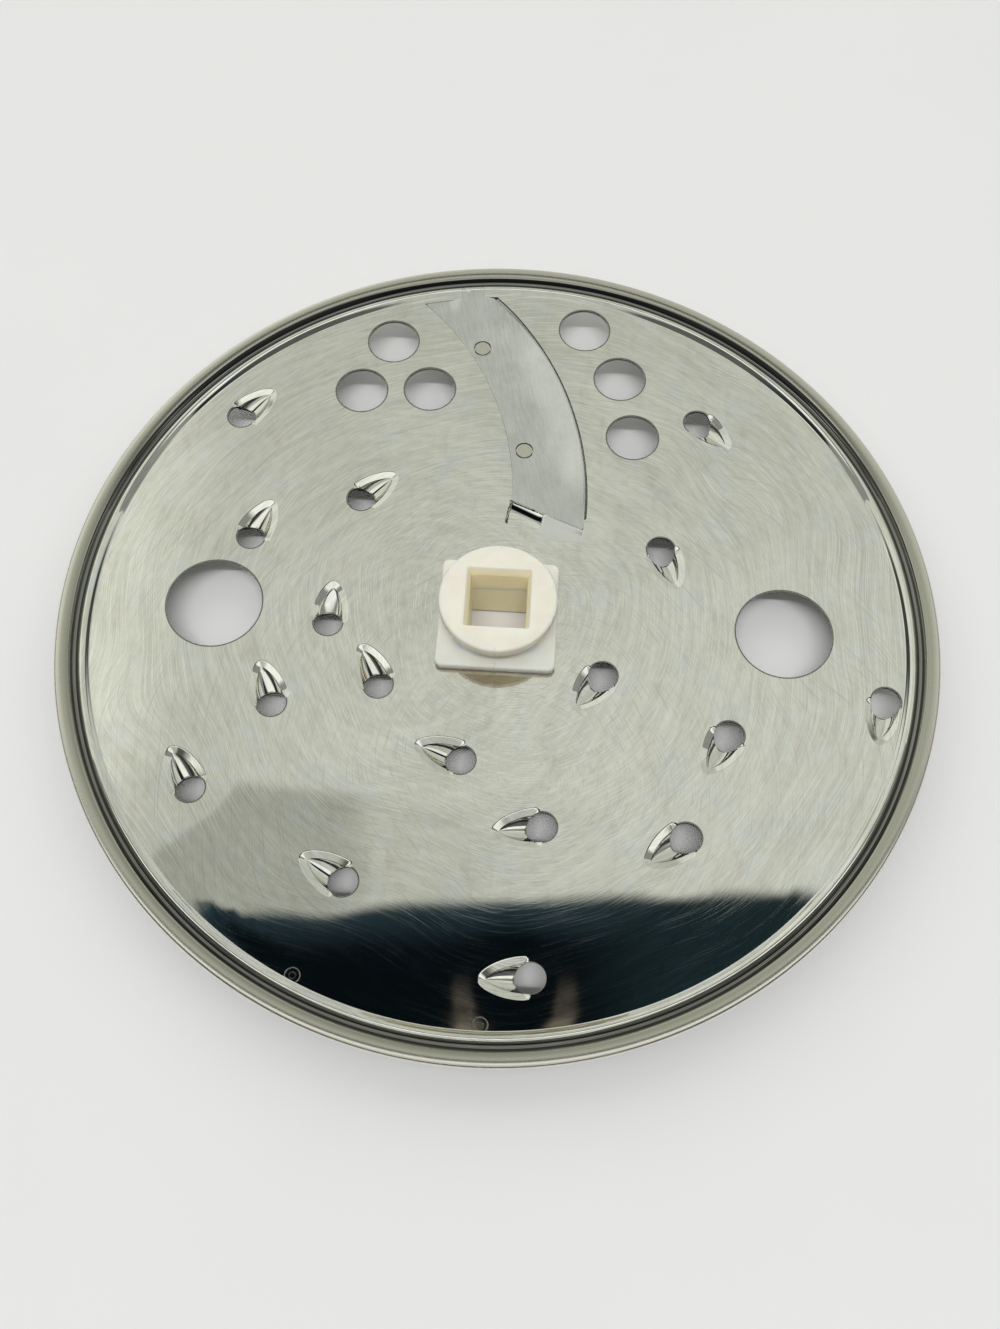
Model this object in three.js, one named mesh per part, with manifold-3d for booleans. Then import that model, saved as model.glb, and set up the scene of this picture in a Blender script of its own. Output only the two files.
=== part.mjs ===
// Reversible slicing and shredding disc for a food processor.
// Millimetres, +Z up. The origin is on the disc's axis, at the face of the lower hub cap.
// The slicing side faces up and the shredding side faces down.

import * as THREE from 'three';
import * as BufferGeometryUtils from 'three/addons/utils/BufferGeometryUtils.js';
import Module from 'manifold-3d';

const wasm = await Module();
wasm.setup();

// ---- Driving dimensions ----

const SHEET = 0.6;                    // thickness of the stamped sheet
const HUB_HEIGHT = 19;                // from the lower cap face to the upper cap face
const MIDDLE = HUB_HEIGHT / 2;        // height of the sheet's middle plane
const TOP = MIDDLE + SHEET / 2;       // height of the sheet's upper face
const GAP = 0.1;                      // clearance between pieces that touch

const RIM_R = 89;                     // outer radius of the disc
const FLAT_R = 82.4;                  // radius where the flat sheet starts to rise to the rim
const RIM_STEPS = 72;                 // facets around the disc

const FINGER_R = 9.7;                 // finger holes
const FINGER_X = 58;
const VENT_R = 5.5;                   // small round holes, at these centres
const VENT_CENTRES = [
  [-27.4, 67.8], [-33.2, 54.1], [-18.3, 55.4],
  [15.2, 73.5], [23.4, 60.6], [26.5, 45.4],
];

const TOOTH_HOLE_R = 2.9;             // round hole of each shredding tooth
const TOOTH_MOUTH = 1.6;              // from the hole's centre to the start of the scoop
const TOOTH_TAIL = 8.2;               // from the hole's centre to the scoop's pointed end
const TOOTH_HALF_WIDTH = 2.5;         // scoop at its mouth
const TOOTH_DEPTH = 2.2;
const TEETH = [                       // track radius and bearing of each hole, inner track first
  [24.5, 332], [28, 215], [31.5, 260], [34.5, 185], [37.5, 28.5], [40.5, 139],
  [45, 284], [48.5, 206], [52, 334], [55, 163], [58.5, 311], [62, 245.5],
  [64.5, 51], [69.5, 215], [73, 278], [74.5, 142], [79, 350],
];

const BACK_ARC = { x: -67.3, y: 28, r: 68.6, from: 0 };     // back edge of the blade, in plan
const EDGE_ARC = { x: -60, y: 27, r: 76.8, from: -4 };      // cutting edge
const BLADE_OUTER_R = 81.4;           // circle where the blade ends, near the rim
const BLADE = 0.5;                    // thickness of the blade
const BLADE_LIFT = 1.5;               // height of the cutting edge over the sheet
const BLADE_FLAT = 0.45;              // share of the blade's width that lies flat in the seat
const BLADE_STEPS = 16;               // facets along the blade
const SEAT_ROOM = 0.3;                // between the blade's outline and the seat's wall
const SEAT_DEPTH = BLADE + GAP;       // seat floor under the sheet's upper face
const THROAT = 7;                     // width of the slot under the cutting edge
const THROAT_ENDS = [-2, 41];         // its ends, as degrees on the cutting edge's arc
const POCKET = { x: 4.2, y: 24.4, width: 7.2, depth: 5, turn: -9 };   // seat's open inner end
const TAB_BEARING = 97.3;             // tongue at the blade's outer end, on the rim's slope
const TAB_WIDTH = 5;
const RAMP_RISE = 1.2;                // swelling of the sheet beside the blade's inner end
const RAMP_LENGTH = 3.6;
const RIVET_R = 1.75;                 // head of a blade rivet
const SHANK_R = 1.2;
const HEAD = 0.3;
const RIVET_OUTER = [-7.4, 67.1];
const RIVET_INNER = [3.3, 40.6];

const CAP_R = 11.65;                  // round caps of the hub
const CAP = 2.5;
const CAP_EDGE = 0.4;                 // rounding of the cap's rim
const NECK_R = 9.6;
const FLANGE = 24;                    // square flange against the sheet
const FLANGE_T = 1.9;
const FLANGE_CORNER = 1.5;
const DRIVE = 11.4;                   // square drive socket through the hub
const DRIVE_MOUTH = 13;               // its widened mouth
const DRIVE_LEAD = 1.8;               // depth of the widening
const SPIGOT = 15.4;                  // square spigot of the lower half, through the sheet
const SPIGOT_RISE = 1.3;              // how far it stands above the sheet
const SPIGOT_ROOM = 0.3;

// ---- Shape helpers ----

const rad = THREE.MathUtils.degToRad;

function solid(geometry) {
  const bare = geometry.clone();
  bare.deleteAttribute('normal');
  bare.deleteAttribute('uv');
  const merged = BufferGeometryUtils.mergeVertices(bare);
  return new wasm.Manifold(new wasm.Mesh({
    numProp: 3,
    vertProperties: new Float32Array(merged.attributes.position.array),
    triVerts: new Uint32Array(merged.index.array),
  }));
}

function geometryOf(manifold) {
  const mesh = manifold.getMesh();
  const geometry = new THREE.BufferGeometry();
  geometry.setAttribute('position', new THREE.BufferAttribute(mesh.vertProperties, 3));
  geometry.setIndex(new THREE.BufferAttribute(mesh.triVerts, 1));
  geometry.computeVertexNormals();
  return geometry;
}

// A solid of revolution about +Z from [radius, height] points.
function turned(points, steps) {
  const outline = points.map(([r, z]) => new THREE.Vector2(r, z));
  const geometry = new THREE.LatheGeometry(outline, steps);
  geometry.rotateX(Math.PI / 2);
  return solid(geometry);
}

// A ring of revolution, whose section closes on itself.
function ring(points, steps) {
  return turned([...points, points[0]], steps);
}

function rod(x, y, r, low, high, steps) {
  const geometry = new THREE.CylinderGeometry(r, r, high - low, steps);
  geometry.rotateX(Math.PI / 2);
  geometry.translate(x, y, (low + high) / 2);
  return solid(geometry);
}

function box(width, depth, low, high) {
  const geometry = new THREE.BoxGeometry(width, depth, high - low);
  geometry.translate(0, 0, (low + high) / 2);
  return solid(geometry);
}

function prism(shape, low, high, curveSegments = 8) {
  const geometry = new THREE.ExtrudeGeometry(shape, {
    depth: high - low, bevelEnabled: false, curveSegments,
  });
  geometry.translate(0, 0, low);
  return solid(geometry);
}

// Six times the volume inside a closed skin; it is negative if the faces point inwards.
function signedVolume(points, faces) {
  let volume = 0;
  for (let i = 0; i < faces.length; i += 3) {
    const [a, b, c] = faces.slice(i, i + 3).map((index) => new THREE.Vector3(...points[index]));
    volume += a.dot(b.cross(c));
  }
  return volume;
}

// A closed skin through rings of points that all have the same count; the ends are capped.
function loft(rings) {
  const count = rings[0].length;
  const points = rings.flat();
  const faces = [];
  for (let i = 0; i + 1 < rings.length; i += 1) {
    for (let j = 0; j < count; j += 1) {
      const a = i * count + j;
      const b = i * count + (j + 1) % count;
      faces.push(a, b, b + count, a, b + count, a + count);
    }
  }
  const last = (rings.length - 1) * count;
  for (let j = 1; j + 1 < count; j += 1) {
    faces.push(0, j + 1, j);
    faces.push(last, last + j, last + j + 1);
  }
  if (signedVolume(points, faces) < 0) {
    faces.reverse();
  }
  const geometry = new THREE.BufferGeometry();
  geometry.setAttribute('position', new THREE.Float32BufferAttribute(points.flat(), 3));
  geometry.setIndex(faces);
  return solid(geometry);
}

function arcPoint(arc, degrees) {
  const angle = rad(degrees);
  return [arc.x + arc.r * Math.cos(angle), arc.y + arc.r * Math.sin(angle)];
}

// ---- Shredding teeth ----

// The scoop narrows to its tail; 0 is the mouth and 1 is the pointed end.
function scoopSection(along, wall) {
  const left = 1 - along;
  const x = TOOTH_MOUTH + along * (TOOTH_TAIL - TOOTH_MOUTH + wall);
  const halfWidth = TOOTH_HALF_WIDTH * Math.sqrt(left) * (1 - 0.25 * along) + wall;
  const depth = TOOTH_DEPTH * left ** 0.8 + wall;
  return { x, halfWidth, depth };
}

// The scoop as a solid that hangs from the sheet. With a wall it is the outside of the tooth.
function scoop(wall, roof) {
  const steps = 4;
  const around = 6;
  const rings = [];
  for (let i = 0; i <= steps; i += 1) {
    const { x, halfWidth, depth } = scoopSection(i / steps, wall);
    const width = Math.max(halfWidth, 0.12);
    const drop = Math.max(depth, 0.12);
    const section = [];
    for (let j = 0; j <= around; j += 1) {
      const angle = Math.PI * j / around;
      section.push([x, -width * Math.cos(angle), -drop * Math.sin(angle)]);
    }
    if (roof > 0) {
      section.push([x, width, roof], [x, -width, roof]);
    }
    rings.push(section);
  }
  return loft(rings);
}

// Each tooth is square to the disc's radius at the middle of its own length.
function placeTooth(manifold, [radius, bearing], height) {
  const skew = THREE.MathUtils.radToDeg(Math.atan2(TOOTH_TAIL / 2, radius));
  const angle = rad(bearing);
  return manifold
    .rotate([0, 0, bearing - 90 - skew])
    .translate([radius * Math.cos(angle), radius * Math.sin(angle), height]);
}

// ---- Blade geometry ----

// Where an arc meets the circle of this radius about the disc's axis, in degrees on the arc.
function meets(arc, radius) {
  const reach = Math.hypot(arc.x, arc.y);
  const cosine = (radius ** 2 - reach ** 2 - arc.r ** 2) / (2 * reach * arc.r);
  return THREE.MathUtils.radToDeg(Math.atan2(arc.y, arc.x) - Math.acos(cosine));
}

function bearingOf([x, y]) {
  return Math.atan2(y, x);
}

// Outline of the blade in plan, grown by a margin.
function bladeOutline(margin) {
  const back = { ...BACK_ARC, r: BACK_ARC.r - margin };
  const edge = { ...EDGE_ARC, r: EDGE_ARC.r + margin };
  const outer = BLADE_OUTER_R + margin;
  const backEnd = meets(back, outer);
  const edgeEnd = meets(edge, outer);
  const grow = THREE.MathUtils.radToDeg(margin / back.r);
  const shape = new THREE.Shape();
  shape.absarc(back.x, back.y, back.r, rad(back.from - grow), rad(backEnd), false);
  shape.absarc(0, 0, outer, bearingOf(arcPoint(back, backEnd)), bearingOf(arcPoint(edge, edgeEnd)), true);
  shape.absarc(edge.x, edge.y, edge.r, rad(edgeEnd), rad(edge.from - grow), true);
  return shape;
}

// Rise of the blade across its width: flat in the seat, then curving up to the cutting edge.
function bladeLift(across) {
  const bent = Math.max(0, (across - BLADE_FLAT) / (1 - BLADE_FLAT));
  return BLADE_LIFT * bent ** 1.5;
}

function bladeStrip() {
  const across = [0, 0.25, BLADE_FLAT, 0.58, 0.7, 0.82, 0.92, 1];
  const backEnd = meets(BACK_ARC, BLADE_OUTER_R);
  const edgeEnd = meets(EDGE_ARC, BLADE_OUTER_R);
  const rings = [];
  for (let i = 0; i <= BLADE_STEPS; i += 1) {
    const along = i / BLADE_STEPS;
    const back = arcPoint(BACK_ARC, THREE.MathUtils.lerp(BACK_ARC.from, backEnd, along));
    const edge = arcPoint(EDGE_ARC, THREE.MathUtils.lerp(EDGE_ARC.from, edgeEnd, along));
    const lower = [];
    const upper = [];
    for (const share of across) {
      const x = THREE.MathUtils.lerp(back[0], edge[0], share);
      const y = THREE.MathUtils.lerp(back[1], edge[1], share);
      const push = i === BLADE_STEPS ? BLADE_OUTER_R / Math.hypot(x, y) : 1;
      const bottom = TOP - BLADE + bladeLift(share);
      const thickness = share === 1 ? 0.1 : BLADE;
      lower.push([x * push, y * push, bottom]);
      upper.unshift([x * push, y * push, bottom + thickness]);
    }
    rings.push([...upper, ...lower]);
  }
  return loft(rings);
}

// Tongue at the blade's outer end: it steps over the seat's wall and lies on the rim's slope.
function bladeTab() {
  const along = [Math.cos(rad(TAB_BEARING)), Math.sin(rad(TAB_BEARING))];
  const side = [-along[1], along[0]];
  const half = TAB_WIDTH / 2;
  const profile = [
    [80.6, -BLADE], [81.4, -BLADE + 0.1], [81.7, GAP], [82.5, GAP], [83.3, 0.45], [84.4, 1.2],
  ];
  const rings = profile.map(([r, low]) => {
    const corner = (across, z) => [
      r * along[0] + across * side[0], r * along[1] + across * side[1], TOP + z,
    ];
    return [
      corner(half, low), corner(-half, low), corner(-half, low + BLADE), corner(half, low + BLADE),
    ];
  });
  return loft(rings);
}

function slicingBlade() {
  let blade = bladeStrip().add(bladeTab());
  for (const [x, y] of [RIVET_OUTER, RIVET_INNER]) {
    blade = blade.subtract(rod(x, y, SHANK_R + GAP, TOP - 2, TOP + 2, 16));
    blade = blade.subtract(rod(x, y, RIVET_R + GAP, TOP - HEAD - GAP, TOP + 2, 20));
  }
  return blade;
}

// ---- Disc plate ----

// Section of the sheet: flat, then a slope up to a bead, a groove and the rolled outer ring.
function rimSection() {
  const inner = 5;
  const upper = [
    [inner, 0], [FLAT_R, 0], [83.3, 0.3], [84.5, 1.1], [85.1, 1.3], [85.9, 0.7],
    [86.7, 1.6], [87.8, 2], [88.7, 1.7], [RIM_R, 0.9],
  ];
  const lower = [
    [88.6, 0.2], [87.8, 0], [87, 0.4], [86, 0.1], [85.1, 0.65],
    [84.6, 0.5], [83.5, -0.35], [FLAT_R + 0.1, -SHEET], [inner, -SHEET],
  ];
  return [...upper, ...lower].map(([r, z]) => [r, TOP + z]).reverse();
}

function pocketShape(margin) {
  const width = POCKET.width / 2 + margin;
  const depth = POCKET.depth / 2 + margin;
  const shape = new THREE.Shape();
  const corners = [[-width, -depth], [width, -depth], [width, depth], [-width, depth]];
  const turn = rad(POCKET.turn);
  shape.setFromPoints(corners.map(([x, y]) => new THREE.Vector2(
    POCKET.x + x * Math.cos(turn) - y * Math.sin(turn),
    POCKET.y + x * Math.sin(turn) + y * Math.cos(turn),
  )));
  return shape;
}

// The seat's outline as a solid between two heights.
function seat(margin, low, high) {
  const under = prism(bladeOutline(margin), low, high, BLADE_STEPS);
  return under.add(prism(pocketShape(margin), low, high));
}

// Slot that the slices drop through, under the cutting edge.
function throat() {
  const inner = EDGE_ARC.r - THROAT;
  const outer = EDGE_ARC.r + SEAT_ROOM;
  const [from, to] = THROAT_ENDS.map(rad);
  const shape = new THREE.Shape();
  shape.absarc(EDGE_ARC.x, EDGE_ARC.y, outer, from, to, false);
  shape.absarc(EDGE_ARC.x, EDGE_ARC.y, inner, to, from, true);
  return prism(shape, TOP - 3, TOP + 3, BLADE_STEPS);
}

// The sheet swells beside the blade's inner end, so that its edge runs on from the cutting edge.
function ramp() {
  const right = arcPoint({ ...EDGE_ARC, r: EDGE_ARC.r - 0.1 }, EDGE_ARC.from);
  const left = [8.4, 24.9];
  const start = SEAT_ROOM + 0.1;
  const rings = [0, 0.35, 0.7, 1].map((along) => {
    const y = -start - along * (RAMP_LENGTH - start);
    const rise = RAMP_RISE * Math.cos(along * Math.PI / 2) ** 2;
    const low = TOP - SHEET / 2;
    return [
      [right[0], right[1] + y, low], [left[0], left[1] + y, low],
      [left[0], left[1] + y, TOP + 0.05 + rise * 0.4], [right[0], right[1] + y, TOP + 0.05 + rise],
    ];
  });
  return loft(rings);
}

function discPlate() {
  let plate = ring(rimSection(), RIM_STEPS);
  plate = plate.add(seat(SEAT_ROOM + SHEET, TOP - SEAT_DEPTH - SHEET, TOP - SHEET / 2));
  plate = plate.subtract(seat(SEAT_ROOM, TOP - SEAT_DEPTH, TOP + 3));
  plate = plate.add(ramp());
  plate = plate.subtract(throat());
  for (const tooth of TEETH) {
    plate = plate.add(placeTooth(scoop(SHEET, 0), tooth, TOP - SHEET / 2));
  }
  for (const tooth of TEETH) {
    const [radius, bearing] = tooth;
    const x = radius * Math.cos(rad(bearing));
    const y = radius * Math.sin(rad(bearing));
    plate = plate.subtract(placeTooth(scoop(0, 2), tooth, TOP));
    plate = plate.subtract(rod(x, y, TOOTH_HOLE_R, TOP - 5, TOP + 3, 16));
  }
  for (const side of [-1, 1]) {
    plate = plate.subtract(rod(side * FINGER_X, 0, FINGER_R, TOP - 3, TOP + 3, 36));
  }
  for (const [x, y] of VENT_CENTRES) {
    plate = plate.subtract(rod(x, y, VENT_R, TOP - 3, TOP + 3, 24));
  }
  for (const [x, y] of [RIVET_OUTER, RIVET_INNER]) {
    plate = plate.subtract(rod(x, y, SHANK_R + GAP, TOP - 3, TOP + 3, 16));
  }
  const opening = SPIGOT + 2 * SPIGOT_ROOM;
  return plate.subtract(box(opening, opening, TOP - 2, TOP + 2));
}

// ---- Rivets ----

// Flush head in the blade, shank, and a closing head under the seat.
function rivet([x, y]) {
  const floor = TOP - SEAT_DEPTH - SHEET - GAP;
  const outline = [
    [0, floor - HEAD], [RIVET_R - 0.1, floor - HEAD], [RIVET_R, floor - HEAD + 0.1], [RIVET_R, floor],
    [SHANK_R, floor], [SHANK_R, TOP - HEAD], [RIVET_R, TOP - HEAD], [RIVET_R, TOP], [0, TOP],
  ];
  return turned(outline, 20).translate([x, y, 0]);
}

// ---- Hub ----

function roundedSquare(width, corner) {
  const half = width / 2;
  const inner = half - corner;
  const shape = new THREE.Shape();
  shape.absarc(inner, inner, corner, 0, Math.PI / 2, false);
  shape.absarc(-inner, inner, corner, Math.PI / 2, Math.PI, false);
  shape.absarc(-inner, -inner, corner, Math.PI, 1.5 * Math.PI, false);
  shape.absarc(inner, -inner, corner, 1.5 * Math.PI, 2 * Math.PI, false);
  return shape;
}

// The mouth of the drive socket, which narrows to the socket's own width.
function driveMouth() {
  const extra = 1;
  const slope = (DRIVE_MOUTH - DRIVE) / 2 / DRIVE_LEAD;
  const level = (z) => {
    const half = DRIVE / 2 + slope * (z - HUB_HEIGHT + DRIVE_LEAD);
    return [[half, half, z], [-half, half, z], [-half, -half, z], [half, -half, z]];
  };
  return loft([level(HUB_HEIGHT - DRIVE_LEAD), level(HUB_HEIGHT + extra)]);
}

// One half without its joint: flange on the sheet, round neck and round cap.
function hubHalf() {
  const foot = TOP + GAP;
  const capFoot = HUB_HEIGHT - CAP;
  const body = turned([
    [0, foot], [NECK_R, foot], [NECK_R, capFoot], [CAP_R, capFoot],
    [CAP_R, HUB_HEIGHT - CAP_EDGE], [CAP_R - CAP_EDGE, HUB_HEIGHT], [0, HUB_HEIGHT],
  ], 48);
  const flange = prism(roundedSquare(FLANGE, FLANGE_CORNER), foot, foot + FLANGE_T, 4);
  const socket = box(DRIVE, DRIVE, foot - 2, HUB_HEIGHT + 1);
  return body.add(flange).subtract(socket).subtract(driveMouth());
}

function hubUpper() {
  const opening = SPIGOT + 2 * SPIGOT_ROOM;
  const pocket = box(opening, opening, TOP - 1, TOP + SPIGOT_RISE + SPIGOT_ROOM);
  return hubHalf().subtract(pocket);
}

function hubLower() {
  const half = hubHalf().mirror([0, 0, 1]).translate([0, 0, HUB_HEIGHT]);
  const root = MIDDLE - SHEET / 2 - GAP - FLANGE_T / 2;
  const spigot = box(SPIGOT, SPIGOT, root, TOP + SPIGOT_RISE)
    .subtract(box(DRIVE, DRIVE, root - 1, TOP + SPIGOT_RISE + 1));
  return half.add(spigot);
}

// ---- Assembly ----

const PLATE_STEEL = { color: 0xbec0af, roughness: 0.22, metalness: 1 };
const BLADE_STEEL = { color: 0xb9bcb8, roughness: 0.3, metalness: 1 };
const WHITE_PLASTIC = { color: 0xece8df, roughness: 0.4, metalness: 0 };

function piece(name, manifold, look) {
  const mesh = new THREE.Mesh(geometryOf(manifold), new THREE.MeshStandardMaterial(look));
  mesh.name = name;
  return mesh;
}

const group = new THREE.Group();
group.add(piece('disc_plate', discPlate(), PLATE_STEEL));
group.add(piece('slicing_blade', slicingBlade(), BLADE_STEEL));
group.add(piece('blade_rivet_outer', rivet(RIVET_OUTER), PLATE_STEEL));
group.add(piece('blade_rivet_inner', rivet(RIVET_INNER), PLATE_STEEL));
group.add(piece('hub_upper', hubUpper(), WHITE_PLASTIC));
group.add(piece('hub_lower', hubLower(), WHITE_PLASTIC));

export default group;
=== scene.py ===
"""Looks of a reversible slicing and shredding disc for a food processor.

Lengths in the shape code are millimetres, with the origin on the disc's axis at the lower
hub cap's face and +Z up; they become metres when a mesh is made. Heights called rise are
measured from the upper face of the flat sheet.
"""

import math

import bpy
import numpy as np
from mathutils import Matrix, Vector
from mathutils.geometry import delaunay_2d_cdt


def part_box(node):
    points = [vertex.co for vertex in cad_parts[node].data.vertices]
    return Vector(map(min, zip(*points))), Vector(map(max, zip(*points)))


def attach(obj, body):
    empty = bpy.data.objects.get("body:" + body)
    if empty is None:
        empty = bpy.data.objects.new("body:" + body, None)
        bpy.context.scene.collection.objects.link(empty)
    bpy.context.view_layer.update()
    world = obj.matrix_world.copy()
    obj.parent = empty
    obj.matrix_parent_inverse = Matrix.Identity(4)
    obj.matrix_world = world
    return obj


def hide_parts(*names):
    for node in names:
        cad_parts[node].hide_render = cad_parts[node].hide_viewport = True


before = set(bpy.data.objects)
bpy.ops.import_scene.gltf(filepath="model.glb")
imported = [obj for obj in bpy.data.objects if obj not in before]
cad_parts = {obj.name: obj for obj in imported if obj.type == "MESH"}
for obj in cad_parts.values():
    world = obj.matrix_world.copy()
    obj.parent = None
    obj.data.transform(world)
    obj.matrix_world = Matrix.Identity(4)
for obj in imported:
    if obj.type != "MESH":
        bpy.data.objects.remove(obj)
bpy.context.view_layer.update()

# ---- Sizes read from the frame ----

MM = 0.001


def millimetres(node):
    low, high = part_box(node)
    return np.array(low) / MM, np.array(high) / MM


hub_low, hub_high = millimetres("hub_upper")

GAP = 0.1  # between pieces that touch
TOP = hub_low[2] - GAP  # height of the sheet's upper face
HUB_HEIGHT = hub_high[2]
SHEET = 0.6
RIM_R = millimetres("disc_plate")[1][0]
FLAT_R = 82.2  # where the lathe-turned rim starts

FINGER_R, FINGER_X = 9.7, 58.0
VENT_R = 5.5
VENTS = [(-27.4, 67.8), (-33.2, 54.1), (-18.3, 55.4), (15.2, 73.5), (23.4, 60.6), (26.5, 45.4)]
SPIGOT = 15.4

TOOTH_HOLE_R = 2.9
TOOTH_MOUTH, TOOTH_TAIL = 1.2, 8.25  # along the tooth, from the hole's centre
TOOTH_HALF_WIDTH = 2.62
TOOTH_DEPTH = 1.85  # of the scoop under the lip
LIP_WIDTH, LIP_DROP = 1.4, 0.56  # dished lip round the scoop
TEETH = [  # track radius and bearing of each hole
    (24.5, 332), (28, 215), (31.5, 260), (34.5, 185), (37.5, 28.5), (40.5, 139),
    (45, 284), (48.5, 206), (52, 334), (55, 163), (58.5, 311), (62, 245.5),
    (64.5, 51), (69.5, 215), (73, 278), (74.5, 142), (79, 350),
]

BACK = (-67.3, 28.0, 68.6)  # arc of the blade's back edge: centre and radius
EDGE = (-60.0, 27.0, 76.8)  # arc of the cutting edge
BLADE_END = ((1.3, 28.0), (16.6, 21.6))  # inner end of the blade, back to edge
END_ROOM = 0.14  # more room at the back corner of the inner end
BLADE_OUTER_R = 81.4
BLADE = 0.5  # thickness of the strip
BLADE_LIFT = 1.5  # of the cutting edge above the sheet
BLADE_FLAT = 0.45  # share of the blade's width that lies flat
BLADE_SOFT, HOLE_SOFT = 0.07, 0.09  # softened edges of the blade and of the sheet's holes
SEAT_ROOM = 0.06  # between the blade's outline and its seat
SEAT_STEP = 0.08  # width of the step down into the seat
UNDER_ROOM = 0.5  # how much wider pressed shapes are on the lower face
TAB_BEARING, TAB_HALF, TAB_R = 97.3, 2.5, 83.9

# Section of the rim as radius and rise: foot and bead, groove and roll, then the under side.
RIM_INNER = [(FLAT_R, 0.0), (82.4, 0.06), (83.15, 0.76), (83.65, 0.98)]
RIM_OUTER = [(84.2, 0.8), (84.75, 0.3), (85.15, 0.14), (85.6, 0.4), (86.2, 1.25),
             (87.0, 1.66), (87.9, 1.78), (88.6, 1.64), (88.92, 1.3)]
RIM_EDGE = (RIM_R, 0.95)
RIM_UNDER = [(88.6, 0.3), (87.8, 0.05), (87.1, 0.3), (86.5, 0.15), (85.6, -0.4),
             (84.4, -0.45), (83.2, -0.4), (82.6, -0.57)]
GROOVE_R = 85.2  # bottom of the groove, where its painted shade lies
RIM_STEPS = 360  # points round the disc

RING_MARKS = [(-32.9, -74.4), (1.6, -81.2)]  # small round marks on the sheet
THROAT = 7.0  # how far the slot under the blade reaches inwards
THROAT_ENDS = (-2.0, 41.0)  # angles of the slot about the cutting edge's centre
RIVET_R, RIVET_SHANK_R = 1.75, 1.2
RIVETS = [(-7.4, 67.1), (3.3, 40.6)]
DIMPLES = [(-3.7, 62.1), (2.1, 48.5), (4.7, 32.2)]
POCKET_CENTRE, POCKET_SIZE, POCKET_TURN = (4.1, 24.2), (7.6, 4.9), -8.0

CAP_R, CAP = 11.8, 2.5
NECK_R = 9.6
FLANGE, FLANGE_T, FLANGE_CORNER = 24.0, 1.9, 1.5
FLANGE_SEAM, CAP_FOOT_SEAM, CAP_SEAM = 0.14, 0.12, 0.08  # height of the mould seam
DRIVE, DRIVE_MOUTH, DRIVE_LEAD = 11.4, 13.0, 1.8
JOINT_RISE = 1.4  # of the joint inside the socket, above the sheet

# ---- Small maths ----


def smooth(low, high, x):
    t = np.clip((x - low) / (high - low), 0, 1)
    return t * t * (3 - 2 * t)


def circle(x, y, r, steps, start=0.0):
    a = start + np.arange(steps) * 2 * math.pi / steps
    return np.stack([x + r * np.cos(a), y + r * np.sin(a)], 1)


def arc(x, y, r, start, end, steps):
    a = np.radians(np.linspace(start, end, steps))
    return np.stack([x + r * np.cos(a), y + r * np.sin(a)], 1)


def meets(centre, radius):
    """Angle on an arc, in degrees, where it meets the circle of this radius about the axis."""
    x, y, r = centre
    reach = math.hypot(x, y)
    cosine = (radius ** 2 - reach ** 2 - r ** 2) / (2 * reach * r)
    return math.degrees(math.atan2(y, x) - math.acos(cosine))


def spline(points, steps):
    """A smooth curve through points, with this many steps to each span."""
    p = np.array(points, float)
    p = np.vstack([2 * p[0] - p[1], p, 2 * p[-1] - p[-2]])
    t = np.linspace(0, 1, steps, endpoint=False)[:, None]
    out = []
    for a, b, c, d in zip(p[:-3], p[1:-2], p[2:-1], p[3:]):
        out.append(0.5 * (2 * b + (c - a) * t + (2 * a - 5 * b + 4 * c - d) * t ** 2
                          + (3 * b - a - 3 * c + d) * t ** 3))
    return np.vstack(out + [p[-2][None]])


def to_line(x, y, line):
    """Distance of each point from an open polyline."""
    best = np.full(x.shape, 1e9)
    for (ax, ay), (bx, by) in zip(line[:-1], line[1:]):
        dx, dy = bx - ax, by - ay
        t = np.clip(((x - ax) * dx + (y - ay) * dy) / (dx * dx + dy * dy), 0, 1)
        best = np.minimum(best, np.hypot(x - ax - t * dx, y - ay - t * dy))
    return best


def inside(x, y, loop):
    """Even-odd test of points against a closed loop."""
    odd = np.zeros(x.shape, bool)
    near = ((x > loop[:, 0].min()) & (x < loop[:, 0].max())
            & (y > loop[:, 1].min()) & (y < loop[:, 1].max()))
    px, py = x[near], y[near]
    hit = np.zeros(px.shape, bool)
    for (ax, ay), (bx, by) in zip(loop, np.roll(loop, -1, 0)):
        crosses = (ay > py) != (by > py)
        if ay != by:
            hit ^= crosses & (px < (bx - ax) * (py - ay) / (by - ay) + ax)
    odd[near] = hit
    return odd


def offset(loop, distance):
    """A closed counter-clockwise loop grown outwards by a distance."""
    before, after = np.roll(loop, 1, 0), np.roll(loop, -1, 0)
    t = after - before
    n = np.stack([t[:, 1], -t[:, 0]], 1)
    return loop + distance * n / np.linalg.norm(n, axis=1)[:, None]


def dense(loop, step):
    """Points added along a closed loop, so that none is further than step from the next."""
    out = []
    for a, b in zip(loop, np.roll(loop, -1, 0)):
        count = max(1, int(math.ceil(np.linalg.norm(b - a) / step)))
        out += [a + (b - a) * k / count for k in range(count)]
    return np.array(out)


# ---- Shape of the sheet ----


def tooth_axes(radius, bearing):
    a = math.radians(bearing)
    turn = a - math.pi / 2 - math.atan2(TOOTH_TAIL / 2, radius)
    return radius * math.cos(a), radius * math.sin(a), math.cos(turn), math.sin(turn)


def scoop_width(along):
    return TOOTH_HALF_WIDTH * (1 - np.clip(along, 0, 1) ** 1.8) ** 0.75


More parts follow.
